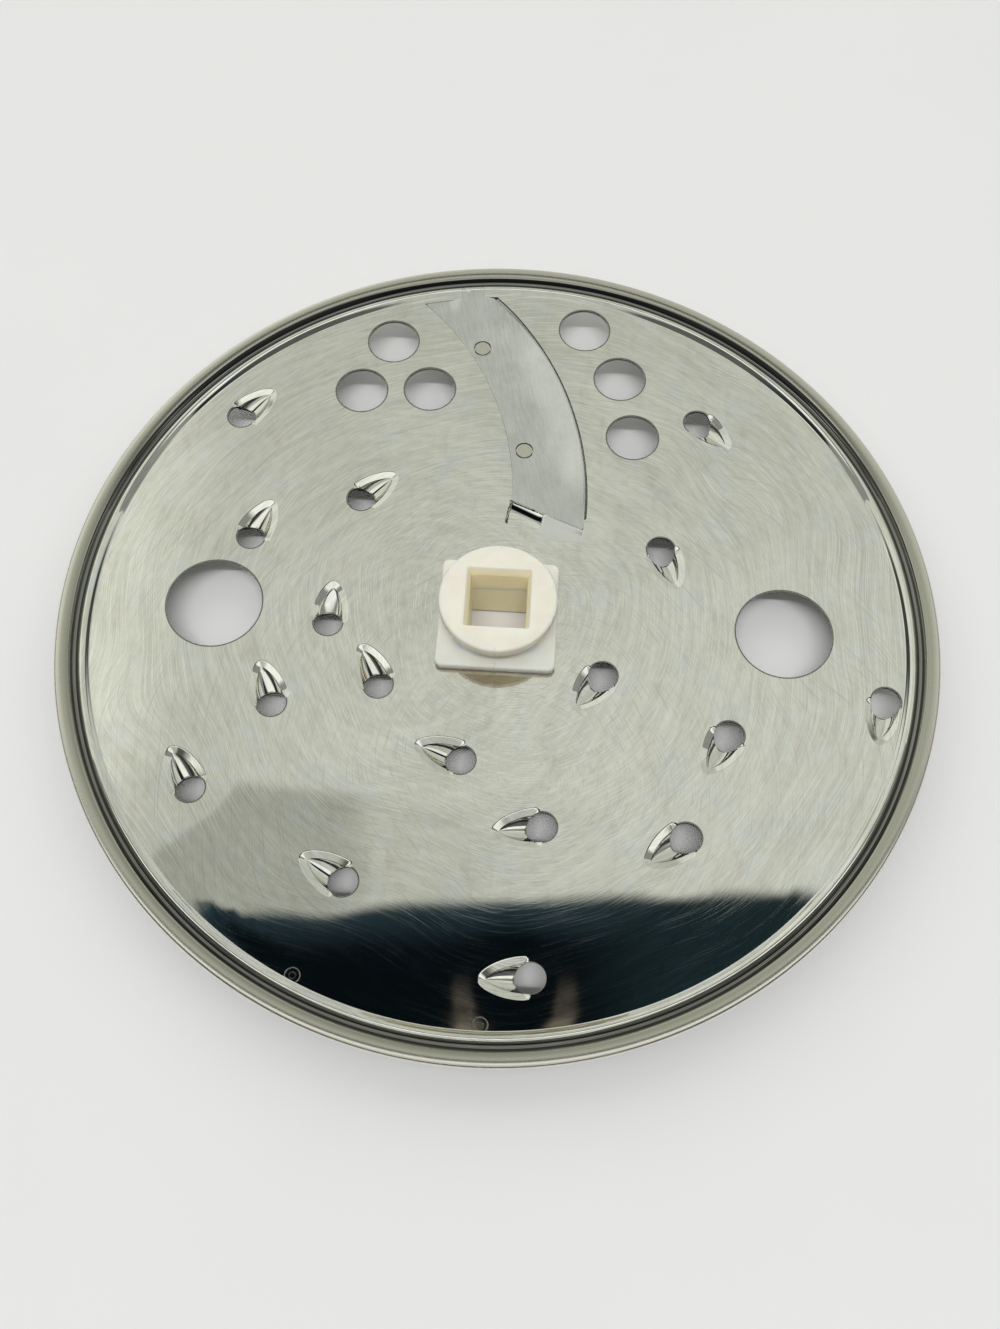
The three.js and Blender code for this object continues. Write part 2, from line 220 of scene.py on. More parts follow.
def scoop_line(grow):
    """Outline of the scoop from one side of its mouth round the tail to the other side."""
    a = 1 - np.linspace(1, 0, 26) ** 2.2
    s = TOOTH_MOUTH + a * (TOOTH_TAIL - TOOTH_MOUTH)
    w = scoop_width(a)
    line = np.vstack([np.stack([s, w], 1), np.stack([s, -w], 1)[-2::-1]])
    if not grow:
        return line
    t = np.gradient(line, axis=0)
    n = np.stack([-t[:, 1], t[:, 0]], 1)
    return line + grow * n / np.linalg.norm(n, axis=1)[:, None]


SCOOP = scoop_line(0.0)


def tooth_rise(s, t, wall):
    """Height over a tooth in its own axes: a dished lip, and a pointed half-cone inside it."""
    along = (s - TOOTH_MOUTH) / (TOOTH_TAIL - TOOTH_MOUTH + wall)
    width = scoop_width(along) + wall * (1 - np.clip(along, 0, 1)) ** 0.3
    within = (along > 0) & (along < 1) & (np.abs(t) < width)
    u = np.clip(1 - to_line(s, t, SCOOP) / LIP_WIDTH, 0, 1)
    e = 0.2
    lip = np.where(u < e, u * u / (2 * e), u - e / 2) / (1 - e / 2)
    lip = np.where(within, 1, lip) * smooth(-0.5, 0.7, s)
    q = np.clip(t / np.maximum(width, 1e-3), -1, 1)
    depth = TOOTH_DEPTH * np.clip(1 - along, 0, 1) ** 0.85
    cone = np.where(within, -depth * (1 - q * q) ** 0.75, 0)
    return -LIP_DROP * lip + cone


def along_end(x, y):
    """Share across the blade, and distance past its inner end."""
    (ax, ay), (bx, by) = BLADE_END
    length = math.hypot(bx - ax, by - ay)
    ux, uy = (bx - ax) / length, (by - ay) / length
    return ((x - ax) * ux + (y - ay) * uy) / length, (x - ax) * uy - (y - ay) * ux


def beyond(x, y, curve):
    """Distance outside the circle of an arc."""
    return np.hypot(x - curve[0], y - curve[1]) - curve[2]


def blade_share(x, y):
    """Share of the way across the blade, from its back to its cutting edge."""
    back, edge = beyond(x, y, BACK), -beyond(x, y, EDGE)
    return back / np.maximum(back + edge, 1e-6)


def bent(share, past, reach):
    """Lift of the blade's sprung side, which dies away at both ends."""
    lift = BLADE_LIFT * np.clip((share - BLADE_FLAT) / (1 - BLADE_FLAT), 0, 1.05) ** 1.5
    return lift * (0.1 + 0.9 * smooth(0, 14, -past)) * (1 - smooth(64, 80.5, reach))


def seat_distance(x, y):
    """Signed distance outside the blade's outline, with the cutting edge over the throat."""
    back, edge = -beyond(x, y, BACK), beyond(x, y, EDGE) + SEAT_ROOM
    share, past = along_end(x, y)
    end = past - END_ROOM * (1 - np.clip(share, 0, 1))
    return np.maximum.reduce([back, edge, np.hypot(x, y) - BLADE_OUTER_R, end])


def pocket_axes(x, y):
    a = math.radians(POCKET_TURN)
    dx, dy = x - POCKET_CENTRE[0], y - POCKET_CENTRE[1]
    return dx * math.cos(a) + dy * math.sin(a), -dx * math.sin(a) + dy * math.cos(a)


def pocket_outline(grow):
    """Outline of the pocket, a rectangle a little short on the blade's side."""
    a = math.radians(POCKET_TURN)
    w, h = POCKET_SIZE[0] / 2 + grow, POCKET_SIZE[1] / 2 + grow
    corners = np.array([(-w, -h), (w, -h), (w, h - 0.55), (-w, h - 0.55)])
    p, q = dense(corners, 0.4).T
    return np.stack([POCKET_CENTRE[0] + p * math.cos(a) - q * math.sin(a),
                     POCKET_CENTRE[1] + p * math.sin(a) + q * math.cos(a)], 1)


def waves(x, y):
    """The sheet isn't quite flat: long shallow waves, and a dimple pulled in at each tooth."""
    z = 0.016 * np.sin(x / 11.0 + 0.6) * np.cos(y / 14.0 - 0.4)
    z = z + 0.02 * np.sin((x + 0.6 * y) / 19.0) + 0.014 * np.sin((y - 0.5 * x) / 9.0 + 1.0)
    for radius, bearing in TEETH:
        cx, cy, c, s = tooth_axes(radius, bearing)
        mx, my = cx + 3.2 * c, cy + 3.2 * s
        z = z - 0.05 * np.exp(-((x - mx) ** 2 + (y - my) ** 2) / 42.0)
    return z * (1 - smooth(78, 81.8, np.hypot(x, y))) * smooth(12, 20, np.hypot(x, y))


def sheet_rise(x, y, wall):
    """Height of the stamped sheet; wall is 0 on its upper face and more on its lower face."""
    z = waves(x, y)
    margin = SEAT_ROOM + wall
    share, past = along_end(x, y)
    d = seat_distance(x, y)
    z = z - SHEET * (1 - smooth(margin, margin + SEAT_STEP, d))
    # Swelling beside the blade's inner end, which carries on the line of the cutting edge.
    reach = 2.0 + 2.6 * smooth(1.0, 0.55, share)
    height = (0.04 + bent(share, 0.0, 20.0)) * smooth(0.4, 0.5, share)
    swell = height * (1 - smooth(0, 1, past / reach))
    z = z + np.where(past > 0, swell, 0) * (1 - smooth(-0.1, 0.02, beyond(x, y, EDGE)))
    # Pocket pressed down beside it, rising to the blade's end.
    p, q = pocket_axes(x, y)
    w, h = POCKET_SIZE[0] / 2, POCKET_SIZE[1] / 2
    cut = smooth(-w, -w + 0.6, p) * (1 - smooth(w - 0.06, w, p)) * smooth(-h, -h + 0.5, q)
    t = np.clip((q + h) / (2 * h + 0.9) + 0.2 * p / w, 0, 1.1)
    floor = -1.1 + 1.0 * t ** 3
    z = np.where((past > margin - 0.05) & (np.abs(p) < w + 0.1), z + cut * floor, z)
    for radius, bearing in TEETH:
        cx, cy, c, s = tooth_axes(radius, bearing)
        near = (np.abs(x - cx) < 13) & (np.abs(y - cy) < 13)
        if near.any():
            dx, dy = x[near] - cx, y[near] - cy
            rise = tooth_rise(dx * c + dy * s, -dx * s + dy * c, wall)
            z[near] += rise * (1 - smooth(81.3, FLAT_R - 0.05, np.hypot(x[near], y[near])))
    return z


def top_rise(x, y):
    return sheet_rise(x, y, 0.0)


def bottom_rise(x, y):
    return sheet_rise(x, y, UNDER_ROOM) - SHEET


def normals_of(rise, x, y, up):
    h = 0.004
    gx = (rise(x + h, y) - rise(x - h, y)) / (2 * h)
    gy = (rise(x, y + h) - rise(x, y - h)) / (2 * h)
    n = np.stack([-gx, -gy, np.ones_like(gx)], 1) * up
    return n / np.linalg.norm(n, axis=1)[:, None]


# ---- Meshes ----


def added(name, data):
    """A new object in the scene."""
    thing = bpy.data.objects.new(name, data)
    bpy.context.scene.collection.objects.link(thing)
    return thing


def make(name, points, faces, normals, material, node):
    """A mesh object from points in millimetres, with its own normals where they are given."""
    mesh = bpy.data.meshes.new(name)
    mesh.from_pydata([tuple(p) for p in np.array(points) * MM], [], faces)
    mesh.update()
    mesh.polygons.foreach_set("use_smooth", [True] * len(mesh.polygons))
    if normals is not None:
        mesh.normals_split_custom_set_from_vertices([tuple(n) for n in normals])
    thing = added(name, mesh)
    mesh.materials.append(material)
    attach(thing, "root")
    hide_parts(node)
    return thing


def face_net(rise, up, loops, lines, free):
    """One face of a sheet: triangles between the loops, set to its height.

    Returns points, faces, normals and the point numbers of each loop. A loop keeps just its own
    points, to meet the wall beside it, so edges of lines that would cross one are left out.
    """
    points, edges = [], []
    for loop in loops:
        start = len(points)
        points += [tuple(p) for p in loop]
        edges += [(start + k, start + (k + 1) % len(loop)) for k in range(len(loop))]
    for line, closed in lines:
        start, line = len(points), np.array(line)
        points += [tuple(p) for p in line]
        sides = np.array([inside(line[:, 0], line[:, 1], np.array(loop)) for loop in loops])
        for k in range(len(line) if closed else len(line) - 1):
            after = (k + 1) % len(line)
            if (sides[:, k] == sides[:, after]).all():
                edges.append((start + k, start + after))
    points += [tuple(p) for p in free]
    out = delaunay_2d_cdt([Vector(p) for p in points], edges, [], 0, 1e-5)
    verts = np.array([(v.x, v.y) for v in out[0]])
    tris = np.array([f for f in out[2]])
    index = {}
    for new, olds in enumerate(out[3]):
        for old in olds:
            index[old] = new
    middle = verts[tris].mean(1)
    keep = inside(middle[:, 0], middle[:, 1], np.array(loops[0]))
    for hole in loops[1:]:
        keep &= ~inside(middle[:, 0], middle[:, 1], np.array(hole))
    tris = tris[keep]
    a, b, c = (verts[tris[:, k]] for k in range(3))
    area = (b[:, 0] - a[:, 0]) * (c[:, 1] - a[:, 1]) - (b[:, 1] - a[:, 1]) * (c[:, 0] - a[:, 0])
    tris = np.where((area * up > 0)[:, None], tris, tris[:, ::-1])
    used = np.unique(tris)
    slot_of = np.full(len(verts), -1)
    slot_of[used] = np.arange(len(used))
    x, y = verts[used, 0], verts[used, 1]
    z = rise(x, y)
    rings, start = [], 0
    for loop in loops:
        rings.append(slot_of[[index[start + k] for k in range(len(loop))]])
        start += len(loop)
    return np.stack([x, y, z], 1), slot_of[tris], normals_of(rise, x, y, up), rings


def thin_free(points, lines, gap):
    """Free points that aren't too close to any of the lines."""
    cells = set()
    for line in lines:
        for x, y in line:
            i, j = int(x // gap), int(y // gap)
            cells |= {(i + a, j + b) for a in (-1, 0, 1) for b in (-1, 0, 1)}
    keep = [(int(x // gap), int(y // gap)) not in cells for x, y in points]
    return points[np.array(keep)]


def soft_wall(points, normals, sheet, wall, high, low, soft):
    """Adds the points of a wall with both its edges softened, and returns their rows.

    sheet is the loop where the flat faces end, wall the loop of the wall itself.
    """
    side = np.concatenate([(wall - sheet) / soft, np.zeros((len(wall), 1))], 1)
    mid = sheet + (wall - sheet) * 0.7
    rows = []
    for spot, z, tilt in ((mid, high - 0.3 * soft, 0.7), (wall, high - soft, 0),
                          (wall, low + soft, 0), (mid, low + 0.3 * soft, -0.7)):
        start = sum(len(p) for p in points)
        rows.append(np.arange(start, start + len(wall)))
        points.append(np.stack([spot[:, 0], spot[:, 1], z], 1))
        n = side + np.array([0, 0, tilt])
        normals.append(n / np.linalg.norm(n, axis=1)[:, None])
    return rows


def sheet_solid(holes, outer, top, bottom, top_lines, bottom_lines, top_free, bottom_free, soft):
    """Both faces of a sheet and the walls of its holes, with softened edges.

    Returns points, normals, faces and the rings of the outer boundary on both faces.
    """
    loops = [outer] + [offset(h, soft) for h in holes]
    t_points, t_faces, t_normals, t_rings = face_net(top, 1, loops, top_lines, top_free)
    b_points, b_faces, b_normals, b_rings = face_net(bottom, -1, loops, bottom_lines, bottom_free)
    points = [t_points, b_points]
    normals = [t_normals, b_normals]
    faces = [tuple(f) for f in t_faces] + [tuple(f) for f in b_faces + len(t_points)]
    for k, hole in enumerate(holes, 1):
        rows = soft_wall(points, normals, loops[k], hole,
                         t_points[t_rings[k], 2], b_points[b_rings[k], 2], soft)
        faces += strips([t_rings[k]] + rows + [b_rings[k] + len(t_points)], False)
    return points, normals, faces, t_rings[0], b_rings[0] + len(t_points)


def strips(rows, outward):
    """Quads between rings of the same count."""
    faces = []
    for a, b in zip(rows[:-1], rows[1:]):
        for k in range(len(a)):
            n = (k + 1) % len(a)
            quad = (a[k], a[n], b[n], b[k])
            faces.append(tuple(int(v) for v in (quad[::-1] if outward else quad)))
    return faces


def blade_loop(back_margin, edge_margin, outer_margin, end_margin, tab):
    """Closed counter-clockwise outline of the blade, grown by margins."""
    back = (BACK[0], BACK[1], BACK[2] - back_margin)
    edge = (EDGE[0], EDGE[1], EDGE[2] + edge_margin)
    outer = BLADE_OUTER_R + outer_margin
    (ax, ay), (bx, by) = BLADE_END
    length = math.hypot(bx - ax, by - ay)
    nx, ny = (by - ay) / length, -(bx - ax) / length
    if ny > 0:
        nx, ny = -nx, -ny
    on_edge, on_back = (arc(*e, -7, meets(e, outer), 90) for e in (edge, back))
    past = lambda p: (p[:, 0] - ax) * nx + (p[:, 1] - ay) * ny
    on_edge = on_edge[past(on_edge) <= end_margin]
    on_back = on_back[past(on_back) <= end_margin]
    first, last = on_edge[0], on_back[0]
    shift = lambda p: p + np.array([nx, ny]) * (end_margin - past(p[None])[0])
    e0, b0 = shift(first), shift(last)
    if not tab:
        b0 = b0 + np.array([nx, ny]) * END_ROOM
    start = math.atan2(on_edge[-1][1], on_edge[-1][0])
    stop = math.atan2(on_back[-1][1], on_back[-1][0])
    angles = np.linspace(start, stop, 34)[1:-1]
    if tab:
        a = math.radians(TAB_BEARING)
        half = math.asin(TAB_HALF / outer)
        angles = angles[np.abs(angles - a) > half + 0.012]
        flank = [(half + 0.007, outer + 0.1), (half, outer + 0.6), (half, TAB_R - 0.4),
                 (half - 0.004, TAB_R - 0.1), (half - 0.012, TAB_R)]
        cut = [(a - v, r) for v, r in flank] + [(a, TAB_R)] + [(a + v, r) for v, r in flank[::-1]]
        ring = sorted([(v, outer) for v in angles] + cut, key=lambda p: p[0])
    else:
        ring = [(v, outer) for v in angles]
    top = np.array([(r * math.cos(v), r * math.sin(v)) for v, r in ring])
    return np.vstack([e0[None], on_edge, top, on_back[::-1], b0[None]])


def grid(low, high, step):
    xs = np.arange(low[0], high[0], step)
    ys = np.arange(low[1], high[1], step * 0.866)
    pts = [(x + (0.5 * step if j % 2 else 0), y) for j, y in enumerate(ys) for x in xs]
    return np.array(pts)


def runs(world, good):
    """Unbroken stretches of good points."""
    cuts = np.flatnonzero(good[1:] != good[:-1]) + 1
    spans = zip(np.split(world, cuts), np.split(good, cuts))
    return [run for run, fit in spans if fit[0] and len(run) > 1]


def placed(line, tooth):
    """A line from a tooth's own axes to the sheet's."""
    cx, cy, c, s = tooth_axes(*tooth)
    u, v = line.T
    return np.stack([cx + u * c - v * s, cy + u * s + v * c], 1)


def clipped(line, tooth):
    """The stretches of a tooth's line that lie clear of its hole and of the rim."""
    world = placed(line, tooth)
    r = np.hypot(world[:, 0], world[:, 1])
    good = (np.hypot(line[:, 0], line[:, 1]) > TOOTH_HOLE_R + 0.2) & (r < FLAT_R - 0.25)
    return [(run, False) for run in runs(world, good)]


def lines_and_free(holes, outer, wall, step):
    """Lines that one face of the plate's net must follow, and the free points between them."""
    fine = grid((-1.5, -5.2), (10.8, 5.3), 0.34)
    fine = fine[np.hypot(fine[:, 0], fine[:, 1]) > TOOTH_HOLE_R + 0.22]
    margin = SEAT_ROOM + wall
    lines, free = [], []
    for tooth in TEETH:
        for grow in (wall - 0.07, wall + 0.05, LIP_WIDTH * 0.8, LIP_WIDTH):
            lines += clipped(scoop_line(grow if abs(grow) > 1e-6 else 0.001), tooth)
        free.append(placed(fine, tooth))
    for m in (margin - 0.012, margin + SEAT_STEP + 0.012):
        lines.append((dense(blade_loop(m, m - margin, m, m, False), 1.0), True))
    free.append(grid((-0.8, 16.5), (18.2, 29.5), 0.28))
    lines.append((pocket_outline(0.0), True))
    lines.append((pocket_outline(-0.07), True))
    for k in (-0.1, 0.02):
        lines.append((arc(EDGE[0], EDGE[1], EDGE[2] + k, -6.2, -4.4, 8), False))
    coarse = grid((-83, -83), (83, 83), step)
    mask = np.hypot(coarse[:, 0], coarse[:, 1]) < FLAT_R - 0.8
    for tooth in TEETH:
        cx, cy, c, s = tooth_axes(*tooth)
        dx, dy = coarse[:, 0] - cx, coarse[:, 1] - cy
        u, v = dx * c + dy * s, -dx * s + dy * c
        mask &= ~((u > -2) & (u < 11.2) & (np.abs(v) < 5.7))
    free.append(coarse[mask])
    free.append(circle(0, 0, FLAT_R - 0.6, RIM_STEPS, 0.009))
    free = np.vstack(free)
    free = free[np.hypot(free[:, 0], free[:, 1]) < FLAT_R - 0.3]
    out = thin_free(free, [outer] + [dense(l, 0.3) if c else l for l, c in lines], 0.2)
    keep = np.ones(len(out), bool)
    for hole in holes:
        keep &= ~inside(out[:, 0], out[:, 1], offset(hole, 0.25))
    return lines, out[keep]


def throat_loop():
    """The slot under the cutting edge, and the opening behind it under the blade."""
    a, b = THROAT_ENDS
    slit_end = meets(EDGE, BLADE_OUTER_R) - 0.3
    turn = np.radians(np.linspace(a, slit_end, 90))
    reach = EDGE[2] + 0.42 + 0.7 * np.maximum(np.sin(turn), 0) * smooth(slit_end + 8, slit_end - 6,
                                                                    np.degrees(turn))
    slit = np.stack([EDGE[0] + reach * np.cos(turn), EDGE[1] + reach * np.sin(turn)], 1)
    corner = [(-4.6, 81.62), (-5.6, 81.58), (-7.3, 81.42), (-7.5, 81.1), (-7.0, 80.6)]
    inner = arc(EDGE[0], EDGE[1], EDGE[2] - THROAT, b, a, 60)
    return dense(np.vstack([slit, corner, inner]), 1.2)


def plate_holes():
    holes = [circle(side * FINGER_X, 0, FINGER_R, 96) for side in (-1, 1)]
    holes += [circle(x, y, VENT_R, 64) for x, y in VENTS]
    half = SPIGOT / 2 + 0.3
    square = np.array([(half, -half), (half, half), (-half, half), (-half, -half)])
    holes += [throat_loop(), dense(square, 2.0)]
    holes += [circle(x, y, RIVET_SHANK_R + GAP, 20) for x, y in RIVETS]
    for tooth in TEETH:
        cx, cy, c, s = tooth_axes(*tooth)
        holes.append(circle(cx, cy, TOOTH_HOLE_R, 56, math.atan2(s, c)))
    return holes


def plate_piece(material):
    holes, outer = plate_holes(), circle(0, 0, FLAT_R, RIM_STEPS)
    top_lines, top_free = lines_and_free(holes, outer, 0.0, 2.4)
    low_lines, low_free = lines_and_free(holes, outer, UNDER_ROOM, 3.2)
    points, normals, faces, high_ring, low_ring = sheet_solid(
        holes, outer, top_rise, bottom_rise, top_lines, low_lines, top_free, low_free, HOLE_SOFT)

    upper = spline(RIM_INNER + RIM_OUTER + [RIM_EDGE], 6)
    lower = spline([RIM_EDGE] + RIM_UNDER + [(FLAT_R, -SHEET)], 4)
    profile = np.vstack([upper, lower[1:]])
    profile[:, 0] = np.minimum(profile[:, 0], RIM_R)
    slope = np.gradient(profile, axis=0)
    out = np.stack([-slope[:, 1], slope[:, 0]], 1)
    out /= np.linalg.norm(out, axis=1)[:, None]
    c, s = circle(0, 0, 1.0, RIM_STEPS).T
    rows = [high_ring]
    for (r, z), (nr, nz) in list(zip(profile, out))[1:-1]:
        start = sum(len(p) for p in points)
        rows.append(np.arange(start, start + RIM_STEPS))
        points.append(np.stack([r * c, r * s, np.full(RIM_STEPS, z)], 1))
        normals.append(np.stack([nr * c, nr * s, np.full(RIM_STEPS, nz)], 1))
    rows.append(low_ring)
    faces += strips(rows, True)
    points = np.vstack(points) + np.array([0, 0, TOP])
    return make("plate", points, faces, np.vstack(normals), material, "disc_plate")


# ---- Blade and rivets ----


def rim_rise(r):
    """Height of the rim's inner slope."""
    return np.interp(r, [p[0] for p in RIM_INNER], [p[1] for p in RIM_INNER])


def tab_frame(x, y):
    a = math.radians(TAB_BEARING)
    return x * math.cos(a) + y * math.sin(a), -x * math.sin(a) + y * math.cos(a)


def blade_top(x, y):
    r = np.hypot(x, y)
    z = bent(blade_share(x, y), along_end(x, y)[1], r)
    side = tab_frame(x, y)[1]
    on_tab = 1 - smooth(TAB_HALF - 0.2, TAB_HALF + 3.5, np.abs(side))
    step = 0.55 * smooth(73, 82.6, r) + 0.32 * smooth(82.6, 84.2, r)
    z = z + step * on_tab
    for dx, dy in DIMPLES:
        z = z - 0.05 * np.exp(-((x - dx) ** 2 + (y - dy) ** 2) / 0.8)
    z = z + 0.012 * np.sin(x / 5.0 + y / 9.0)
    return z - 0.16 * smooth(-0.45, 0.0, beyond(x, y, EDGE))


def blade_low(x, y):
    r = np.hypot(x, y)
    low = blade_top(x, y) - BLADE + 0.3 * (1 - smooth(0, 1.6, -beyond(x, y, EDGE)))
    return np.maximum(low, np.where(r > 81.2, rim_rise(r) + 0.05, -9))


def blade_piece(material):
    holes = [circle(x, y, RIVET_R + 0.2, 40) for x, y in RIVETS]
    outline = dense(blade_loop(0, 0, 0, 0, True), 0.9)
    inner = offset(outline, -BLADE_SOFT)
    free = grid((-24, 18), (19, 86), 0.8)
    free = free[inside(free[:, 0], free[:, 1], offset(inner, -0.35))]
    free = thin_free(free, [dense(h, 0.4) for h in holes], 0.3)
    for hole in holes:
        free = free[~inside(free[:, 0], free[:, 1], offset(hole, 0.3))]
    line = arc(EDGE[0], EDGE[1], EDGE[2] - 0.5, -3.5, meets(EDGE, 80.6), 110)
    points, normals, faces, high, low = sheet_solid(
        holes, inner, blade_top, blade_low, [(line, False)], [(line, False)], free, free, BLADE_SOFT)
    z = np.vstack(points)[:, 2]
    rows = soft_wall(points, normals, inner, outline, z[high], z[low], BLADE_SOFT)
    faces += strips([high] + rows + [low], True)
    points = np.vstack(points) + np.array([0, 0, TOP])
    return make("blade", points, faces, np.vstack(normals), material, "slicing_blade")


def turned_piece(name, profile, x, y, steps, material, node):
    """A closed turned piece from a profile that starts and ends on its own axis."""
    points, rows = [(x, y, profile[0][1])], []
    for r, z in profile[1:-1]:
        rows.append(np.arange(len(points), len(points) + steps))
        points += [(a, b, z) for a, b in circle(x, y, r, steps)]
    points.append((x, y, profile[-1][1]))
    faces = strips(rows, False)
    for k in range(steps):
        n = (k + 1) % steps
        faces.append((0, int(rows[0][n]), int(rows[0][k])))
        faces.append((len(points) - 1, int(rows[-1][k]), int(rows[-1][n])))
    thing = make(name, points, faces, None, material, node)
    sharpen(thing, 35)
    return thing


def sharpen(thing, degrees):
    """Smooth shading with edges sharper than the angle kept crisp, and flat faces kept flat."""
    mesh = thing.data
    mesh.set_sharp_from_angle(angle=math.radians(degrees))
    even = thing.modifiers.new("even_normals", "WEIGHTED_NORMAL")
    even.keep_sharp = True


def rivet_piece(name, x, y, node, material):
    low, high = millimetres(node)
    z0, z1 = low[2], high[2]
    r, shank = RIVET_R, RIVET_SHANK_R
    profile = [(0, z0), (shank, z0 + 0.01), (r - 0.12, z0 + 0.06), (r, z0 + 0.16), (r, z0 + 0.3),
               (shank, z0 + 0.3), (shank, z1 - 0.3), (r, z1 - 0.3), (r, z1 - 0.07),
               (r - 0.06, z1 - 0.02), (r - 0.4, z1 - 0.005), (1.0, z1), (0.5, z1), (0, z1)]
    return turned_piece(name, profile, x, y, 40, material, node)


# ---- Hub ----


def hub_angles():
    """Bearings used by every ring of the hub: close together at the corners and at the seam."""
    marks = list(np.arange(0, 360, 4.0))
    for corner in (45, 135, 225, 315):
        marks += list(corner + np.arange(-8, 8.1, 0.8))
    for seam in (90, 270):
        marks += [seam - 2.4, seam - 1.6, seam - 1.1, seam + 1.1, seam + 1.6, seam + 2.4]
    marks = sorted({round(m % 360, 3) for m in marks})
    kept = [marks[0]]
    for m in marks[1:]:
        if m - kept[-1] > 0.45:
            kept.append(m)
    return np.radians(np.array(kept))


BEARINGS = hub_angles()


def round_ring(r, z, ridge=0.0):
    """A ring of this radius, or of a radius for each bearing, with the mould seam's ridge."""
    from_seam = np.abs(np.cos(BEARINGS)) * r
    r = r + ridge * (1 - smooth(0.12, 0.3, from_seam))
    return np.stack([r * np.cos(BEARINGS), r * np.sin(BEARINGS), np.full(len(BEARINGS), z)], 1)


def square_ring(width, corner, z, ridge=0.0):
    """A rounded square of this width, at the shared bearings."""
    half = width / 2
    c, s = np.abs(np.cos(BEARINGS)), np.abs(np.sin(BEARINGS))
    flat = half / np.maximum(c, s)
    inner = half - corner
    # Distance to the corner's circle, along the same bearing.
    dot = inner * (c + s)
    reach = dot + np.sqrt(np.maximum(corner ** 2 - (2 * inner ** 2 - dot ** 2), 0))
    in_corner = np.minimum(c, s) * flat > inner
    return round_ring(np.where(in_corner, reach, flat), z, ridge)


def fillet(kind, size, corner, low, r, up, steps=4, ridge=0.0):
    """Rings that round an outer edge: up turns a wall into the face above it."""
    rings = []
    for k in range(steps + 1):
        a = math.pi / 2 * k / steps
        inset = r * (1 - math.cos(a)) if up else r * (1 - math.sin(a))
        rise = r * math.sin(a) if up else r * (1 - math.cos(a))
        if kind == "square":
            rings.append(square_ring(size - 2 * inset, max(corner - inset, 0.2), low + rise, ridge))
        else:
            rings.append(round_ring(size - inset, low + rise, ridge))
    return rings


def hub_rings(spigot):
    """Rings of one half, from inside the joint round the outside to the socket."""
    foot = hub_low[2]
    flange_top = foot + FLANGE_T
    cap_foot = HUB_HEIGHT - CAP
    # The upper half has room for the spigot round it and above it.
    joint = TOP + JOINT_RISE + (0 if spigot else GAP)
    width = SPIGOT + (0 if spigot else 0.4)
    rings = [square_ring(width, 0.3, joint), square_ring(width, 0.3, foot),
             square_ring(FLANGE - 0.8, FLANGE_CORNER - 0.3, foot)]
    rings += fillet("square", FLANGE, FLANGE_CORNER, foot, 0.35, False, 3, FLANGE_SEAM)
    rings += fillet("square", FLANGE, FLANGE_CORNER, flange_top - 0.5, 0.5, True, 5, FLANGE_SEAM)
    rings += [square_ring(FLANGE - 2.2, 1.0, flange_top)]
    for a in np.radians((0, 22.5, 45, 67.5, 90)):
        rings.append(round_ring(NECK_R + 0.6 * (1 - math.sin(a)), flange_top + 0.6 * (1 - math.cos(a))))
    rings += [round_ring(NECK_R, cap_foot - 0.35), round_ring(NECK_R + 0.08, cap_foot - 0.12),
              round_ring(NECK_R + 0.3, cap_foot), round_ring(CAP_R - 0.6, cap_foot)]
    rings += fillet("round", CAP_R, 0, cap_foot, 0.3, False, 3, CAP_FOOT_SEAM)
    rings += fillet("round", CAP_R, 0, HUB_HEIGHT - 0.55, 0.55, True, 6, CAP_SEAM)
    rings += [round_ring(CAP_R - 1.6, HUB_HEIGHT)]
    for width, corner, depth in (
            (DRIVE_MOUTH + 0.9, 1.0, 0), (DRIVE_MOUTH + 0.3, 0.5, 0), (DRIVE_MOUTH + 0.06, 0.4, 0.06),
            (DRIVE_MOUTH - 0.1, 0.4, 0.22), (DRIVE + 0.15, 0.35, DRIVE_LEAD - 0.1),
            (DRIVE, 0.3, DRIVE_LEAD + 0.1), (DRIVE, 0.3, 4.5)):
        rings.append(square_ring(width, corner, HUB_HEIGHT - depth))
    rings += [square_ring(DRIVE, 0.3, joint + 0.05), square_ring(DRIVE + 0.1, 0.3, joint)]
    return rings


def hub_piece(name, mirrored, node, material):
    rings = hub_rings(mirrored)
    if mirrored:
        # The lower half's spigot goes up through the sheet; the rest is the upper half turned over.
        rings = [np.stack([r[:, 0], r[:, 1], HUB_HEIGHT - r[:, 2]], 1) for r in rings]
        for ring, below in ((rings[0], 0), (rings[-2], 0.05), (rings[-1], 0)):
            ring[:, 2] = TOP + JOINT_RISE - below
    count = len(BEARINGS)
    rows = [np.arange(k * count, (k + 1) * count) for k in range(len(rings))]
    faces = strips(rows + rows[:1], mirrored)
    thing = make(name, np.vstack(rings), faces, None, material, node)
    sharpen(thing, 40)
    return thing


# ---- Materials ----


def node_material(name):
    """A material with one shader, and the net that feeds it."""
    material = bpy.data.materials.new(name)
    material.use_nodes = True
    tree = material.node_tree
    tree.nodes.clear()
    out = tree.nodes.new("ShaderNodeOutputMaterial")
    shader = tree.nodes.new("ShaderNodeBsdfPrincipled")
    tree.links.new(shader.outputs["BSDF"], out.inputs["Surface"])
    return material, Net(tree, shader)


